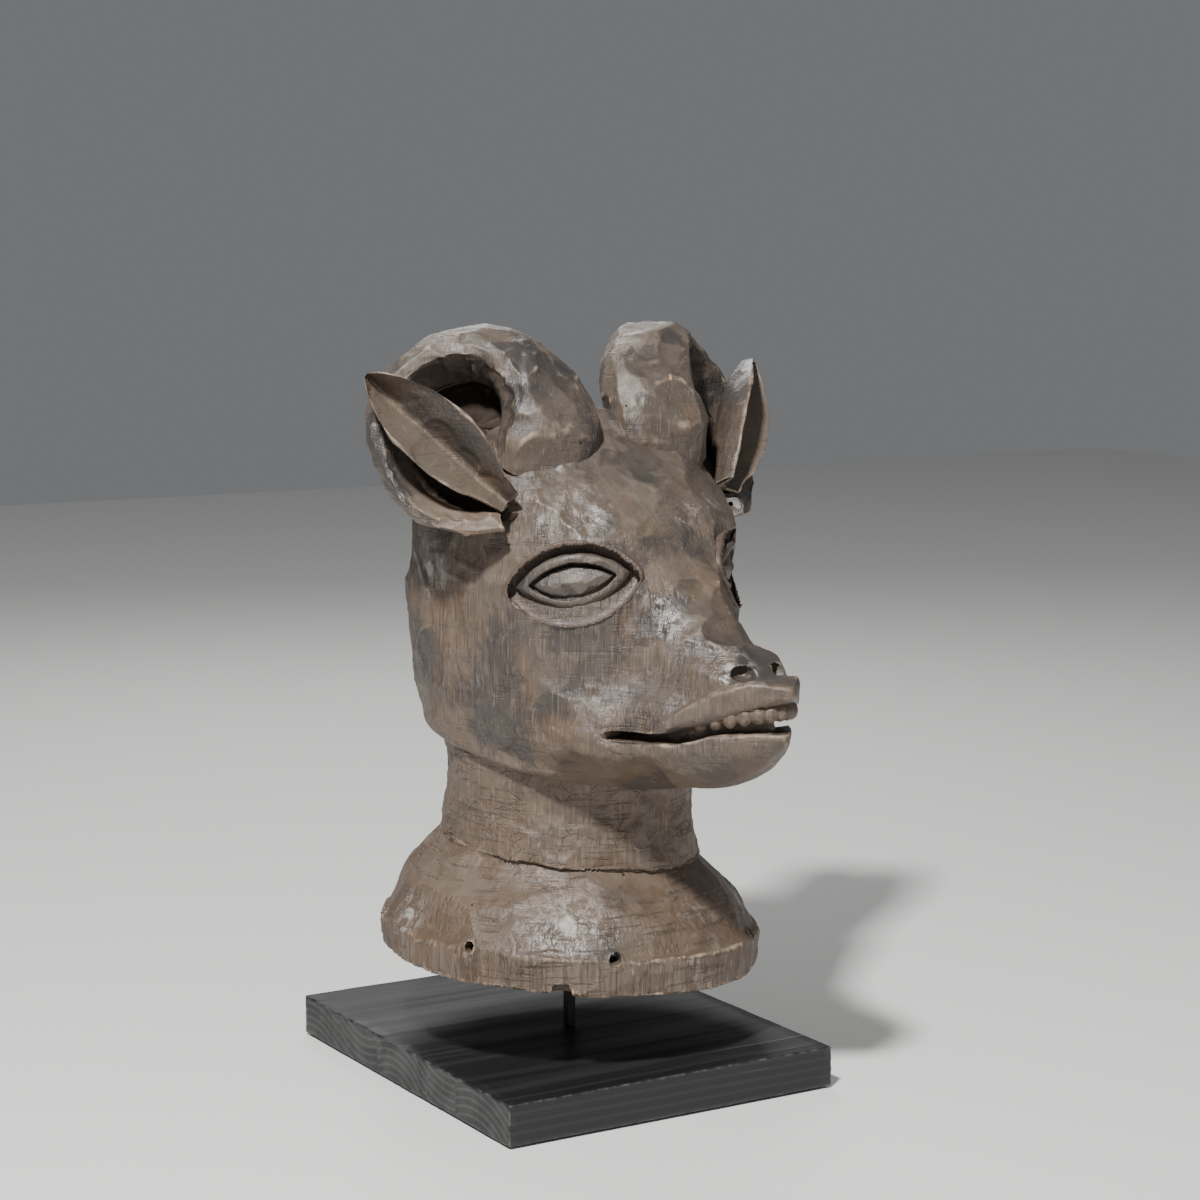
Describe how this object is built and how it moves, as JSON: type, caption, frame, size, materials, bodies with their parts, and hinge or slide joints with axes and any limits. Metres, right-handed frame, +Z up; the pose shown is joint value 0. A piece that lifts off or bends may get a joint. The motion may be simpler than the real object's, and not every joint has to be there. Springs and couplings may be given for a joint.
{
  "type": "carved wooden helmet mask",
  "caption": "Carved horned animal-head helmet mask with flared collar, hollow inside, lifted by an inner armature that turns on a square post over a boarded plinth",
  "frame": {"origin": "middle of the felt face under the plinth", "axes": "+Z up, the plinth's long side along Y with the mask's face towards -Y, the boards' grain along X"},
  "size_m": [0.3281, 0.387, 0.5145],
  "materials": {
    "carved_wood": "dry hand-carved hardwood with worn dark patina",
    "horn_wood": "dry hand-carved hardwood, darker grey patina",
    "plinth_wood": "black-stained satin wood",
    "black_steel": "satin black",
    "felt": "matt wool felt"
  },
  "bodies": {
    "stand": {"plinth_board_1": "plinth_wood", "plinth_board_2": "plinth_wood", "plinth_board_3": "plinth_wood", "plinth_board_4": "plinth_wood", "plinth_board_5": "plinth_wood", "base_felt": "felt", "post": "black_steel", "post_washer": "black_steel", "post_nut": "black_steel"},
    "armature": {"armature_tube": "black_steel", "crown_disc": "black_steel", "crown_pad": "felt", "neck_spider": "black_steel", "spider_pad_1": "felt", "spider_pad_2": "felt", "spider_pad_3": "felt", "spider_pad_4": "felt", "set_screw": "black_steel"},
    "mask": {"head": "carved_wood", "neck": "carved_wood", "collar": "carved_wood", "horn_left": "horn_wood", "horn_right": "horn_wood", "ear_left": "carved_wood", "ear_right": "carved_wood", "eye_left": "carved_wood", "eye_right": "carved_wood", "upper_teeth": "carved_wood"}
  },
  "joints": [
    {"name": "armature_turn", "type": "hinge", "parent": "stand", "child": "armature", "pos_m": [0, -0.013, 0.03], "axis": [0, 0, 1], "continuous": true},
    {"name": "mask_lift", "type": "slide", "parent": "armature", "child": "mask", "axis": [0, 0, 1], "range_m": [0, 0.35]}
  ]
}
